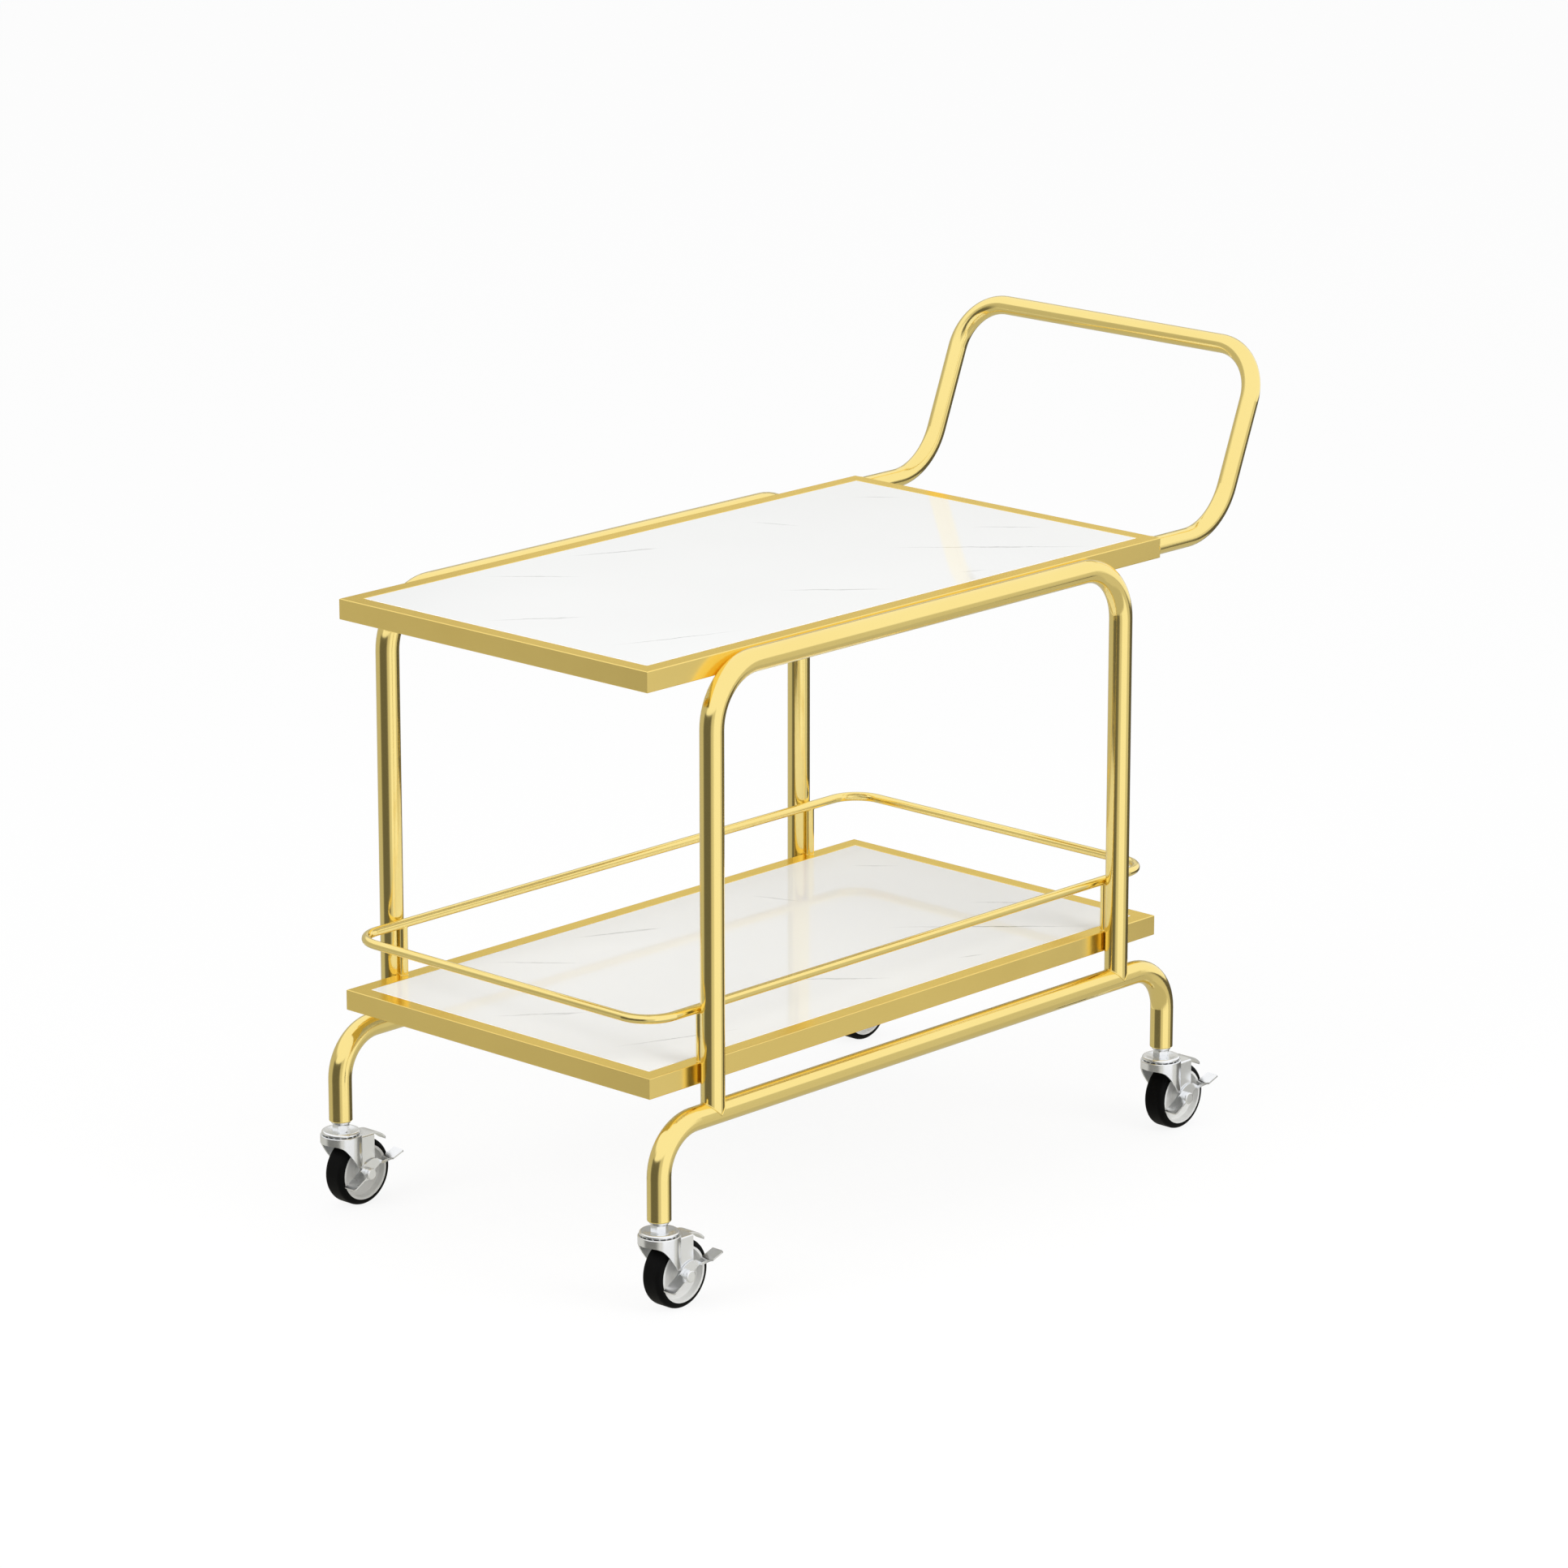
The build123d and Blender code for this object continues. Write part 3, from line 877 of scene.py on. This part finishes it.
@dataclass
class Studio:
    """Pale floor, white surroundings, soft lamps, reflector panels and the camera."""

    lens: float = 149.2
    sensor_width: float = 36.0
    clip_end: float = 200.0
    heading: float = 43.08
    pitch: float = 15.46
    camera_place: tuple[float, float, float] = (-4.9938, -4.6251, 2.3021)
    floor_size: float = 40.0
    floor_glow: float = 0.88
    floor_bounce: str = "#BCBCBA"
    fill_strength: float = 0.77
    lamp_power: float = 69.0
    lamp_distance: float = 4.5
    lamp_rise: float = 30.0
    lamp_size: float = 2.4
    lamp_aim: float = 0.4
    lamp_bearings: tuple[tuple[str, float], ...] = (
        ("left_softbox", -50.0),
        ("right_softbox", 55.0),
    )
    under_card: str = "#C2C0B6"
    under_card_radius: float = 5.0
    under_card_height: float = -2.0
    under_card_sides: int = 64
    card_steps: int = 32
    cards: tuple[Card, ...] = (
        Card("card_left", -77, -8, 1.5, "#6A6964", feather=18.0),
        Card("card_left_back", -175, -62, 3.0, "#C4C2B8", 5.4, top_feather=1.0),
        Card("card_camera", -24, 15, 1.6, "#D4D2C9", 5.3),
        Card("card_side", 74, 97, 0.8, "#D2D0C7", 2.1, 6.0),
        Card("card_right_back", 98, 166, -0.1, "#5E5C56"),
        Card("card_back", 156, 190, 3.2, "#B4B2AA", 5.3),
        Card("card_back_light", 158, 188, 2.4, "#E6E4DC", 5.2, 6.0, foot=1.3, foot_feather=0.25),
    )

    def build(self) -> None:
        """Set up the whole studio."""
        self.build_world()
        self.build_floor()
        self.build_cards()
        self.build_lamps()
        self.build_camera()
        bpy.context.scene.view_settings.view_transform = "Standard"

    def shown_share(self, tree: bpy.types.NodeTree) -> bpy.types.NodeSocket:
        """Share that is 1 for rays which show the background, straight or in a reflection.

        Args:
            tree: Node tree that needs it.

        Returns:
            The socket.
        """
        path = add_node(tree, "LightPath")
        seen = add_node(
            tree,
            "Math",
            {"operation": "MAXIMUM"},
            {0: path.outputs["Is Camera Ray"], 1: path.outputs["Is Glossy Ray"]},
        )
        both = add_node(
            tree,
            "Math",
            {"operation": "MAXIMUM"},
            {0: seen.outputs[0], 1: path.outputs["Is Transmission Ray"]},
        )
        return both.outputs[0]

    def build_world(self) -> None:
        """White surroundings, a little weaker as light than as background."""
        world = bpy.data.worlds.new("studio_white")
        world.use_nodes = True
        tree = world.node_tree
        tree.nodes.clear()
        white = linear(WHITE)
        fill = add_node(tree, "Background", inputs={"Color": white, "Strength": self.fill_strength})
        shown = add_node(tree, "Background", inputs={"Color": white, "Strength": 1.0})
        mixed = add_node(
            tree,
            "MixShader",
            inputs={0: self.shown_share(tree), 1: fill.outputs[0], 2: shown.outputs[0]},
        )
        add_node(tree, "OutputWorld", inputs={"Surface": mixed.outputs[0]})
        bpy.context.scene.world = world

    def build_floor(self) -> None:
        """Wide pale floor that keeps the cart's shadow."""
        shape = bmesh.new()
        bmesh.ops.create_grid(shape, x_segments=1, y_segments=1, size=self.floor_size / 2)
        material, tree, _ = start_material("studio_floor")
        matt = add_node(tree, "BsdfDiffuse", inputs={"Color": linear(WHITE)})
        glow = add_node(tree, "Emission", inputs={"Color": linear(WHITE), "Strength": 1.0})
        shown = add_node(
            tree,
            "MixShader",
            inputs={0: self.floor_glow, 1: matt.outputs[0], 2: glow.outputs[0]},
        )
        bounce = add_node(tree, "BsdfDiffuse", inputs={"Color": linear(self.floor_bounce)})
        surface = add_node(
            tree,
            "MixShader",
            inputs={0: self.shown_share(tree), 1: bounce.outputs[0], 2: shown.outputs[0]},
        )
        end_material(tree, surface)
        floor = self.add_stage(shape, "floor", material)
        floor.visible_glossy = False

    def build_cards(self) -> None:
        """Curved panels at their bearings, and one under the cart."""
        for card in self.cards:
            sweep = math.radians(card.end - card.start + card.feather)
            first = math.radians(self.heading + 180 + card.start - card.feather / 2)
            shape = bmesh.new()
            foot = shape.verts.new((card.radius, 0, card.foot))
            head = shape.verts.new((card.radius, 0, card.top))
            edge = shape.edges.new((foot, head))
            bmesh.ops.spin(
                shape,
                geom=[foot, head, edge],
                cent=(0, 0, 0),
                axis=(0, 0, 1),
                dvec=(0, 0, 0),
                angle=sweep,
                steps=self.card_steps,
                use_merge=False,
                use_duplicate=False,
            )
            turn = Matrix.Rotation(first, 3, "Z")
            bmesh.ops.rotate(shape, verts=shape.verts, cent=(0, 0, 0), matrix=turn)
            self.hide_but_reflections(self.add_stage(shape, card.name, self.card_material(card)))
        shape = bmesh.new()
        under = Matrix.Translation((0, 0, self.under_card_height))
        bmesh.ops.create_circle(
            shape,
            cap_ends=True,
            segments=self.under_card_sides,
            radius=self.under_card_radius,
            matrix=under,
        )
        material, tree, _ = start_material("card_under")
        end_material(tree, add_node(tree, "Emission", inputs={"Color": linear(self.under_card)}))
        self.hide_but_reflections(self.add_stage(shape, "card_under", material))

    def card_material(self, card: Card) -> bpy.types.Material:
        """Even grey that fades out at the panel's edges, so that no hard line shows in a tube.

        Args:
            card: The panel.

        Returns:
            The material.
        """
        material, tree, place = start_material(card.name)
        middle = math.radians(self.heading + 180 + (card.start + card.end) / 2)
        turned = add_node(tree, "Mapping", inputs={"Vector": place, "Rotation": (0, 0, -middle)})
        sweep = add_node(
            tree,
            "TexGradient",
            {"gradient_type": "RADIAL"},
            {"Vector": turned.outputs[0]},
        )
        offset = add_node(
            tree,
            "Math",
            {"operation": "SUBTRACT"},
            {0: sweep.outputs["Fac"], 1: 0.5},
        )
        away = add_node(tree, "Math", {"operation": "ABSOLUTE"}, {0: offset.outputs[0]}).outputs[0]
        height = add_node(tree, "SeparateXYZ", inputs={0: place}).outputs["Z"]
        half = (card.end - card.start) / 2
        soft = card.feather / 2
        cover: bpy.types.NodeSocket | float = 1.0
        for measure, clear_at, full_at in (
            (away, (half + soft) / 360, (half - soft) / 360),
            (height, card.top, card.top - card.top_feather),
            (height, card.foot, card.foot + card.foot_feather),
        ):
            fade = add_node(
                tree,
                "MapRange",
                {"interpolation_type": "SMOOTHSTEP"},
                {"Value": measure, "From Min": clear_at, "From Max": full_at},
            )
            covered = add_node(
                tree,
                "Math",
                {"operation": "MULTIPLY"},
                {0: fade.outputs[0], 1: cover},
            )
            cover = covered.outputs[0]
        clear = add_node(tree, "BsdfTransparent")
        glow = add_node(tree, "Emission", inputs={"Color": linear(card.grey), "Strength": 1.0})
        surface = add_node(
            tree,
            "MixShader",
            inputs={0: cover, 1: clear.outputs[0], 2: glow.outputs[0]},
        )
        end_material(tree, surface)
        return material

    def add_stage(
        self, shape: bmesh.types.BMesh, name: str, material: bpy.types.Material
    ) -> bpy.types.Object:
        """Turn a shape into a part of the stage.

        Args:
            shape: The shape, in metres. It is freed.
            name: Name of the object.
            material: Its material.

        Returns:
            The object.
        """
        mesh = bpy.data.meshes.new(name)
        shape.to_mesh(mesh)
        shape.free()
        mesh.materials.append(material)
        thing = bpy.data.objects.new(name, mesh)
        bpy.context.scene.collection.objects.link(thing)
        return thing

    def hide_but_reflections(self, thing: bpy.types.Object) -> None:
        """Let a panel show in reflections only.

        Args:
            thing: The panel.
        """
        thing.visible_camera = False
        thing.visible_diffuse = False
        thing.visible_shadow = False

    def build_lamps(self) -> None:
        """Soft lamps left and right of the camera, low enough to reach the lower shelf."""
        aim = Vector((0, 0, self.lamp_aim))
        rise = math.radians(self.lamp_rise)
        for name, bearing in self.lamp_bearings:
            data = bpy.data.lights.new(name, "AREA")
            data.shape = "DISK"
            data.size = self.lamp_size
            data.energy = self.lamp_power
            lamp = bpy.data.objects.new(name, data)
            bpy.context.scene.collection.objects.link(lamp)
            turn = math.radians(self.heading + 180 + bearing)
            lamp.location = self.lamp_distance * Vector(
                (math.cos(turn) * math.cos(rise), math.sin(turn) * math.cos(rise), math.sin(rise))
            )
            lamp.rotation_euler = (aim - lamp.location).to_track_quat("-Z", "Y").to_euler()
            lamp.visible_glossy = False

    def build_camera(self) -> None:
        """Camera at the photograph's viewing angle."""
        data = bpy.data.cameras.new("camera")
        data.lens = self.lens
        data.sensor_width = self.sensor_width
        data.clip_end = self.clip_end
        camera = bpy.data.objects.new("camera", data)
        bpy.context.scene.collection.objects.link(camera)
        camera.location = self.camera_place
        camera.rotation_euler = (
            math.radians(90 - self.pitch),
            0,
            math.radians(self.heading - 90),
        )
        bpy.context.scene.camera = camera


def main() -> None:
    """Build the studio, dress the cart and add its small pieces."""
    logging.basicConfig(level=logging.INFO, format="%(name)s: %(message)s")
    Studio().build()
    finishes = Finishes()
    for level in Level:
        Shelf(level, finishes).dress()
    tubes = TubeFrame(finishes)
    tubes.dress()
    tubes.build_leg_welds()
    tubes.build_post_welds()
    tubes.build_handle_welds()
    StemFittings(finishes).dress()
    for corner in Corner:
        caster = Caster(corner, finishes)
        caster.dress()
        caster.build_axle_thread()


if __name__ == "__main__":
    main()
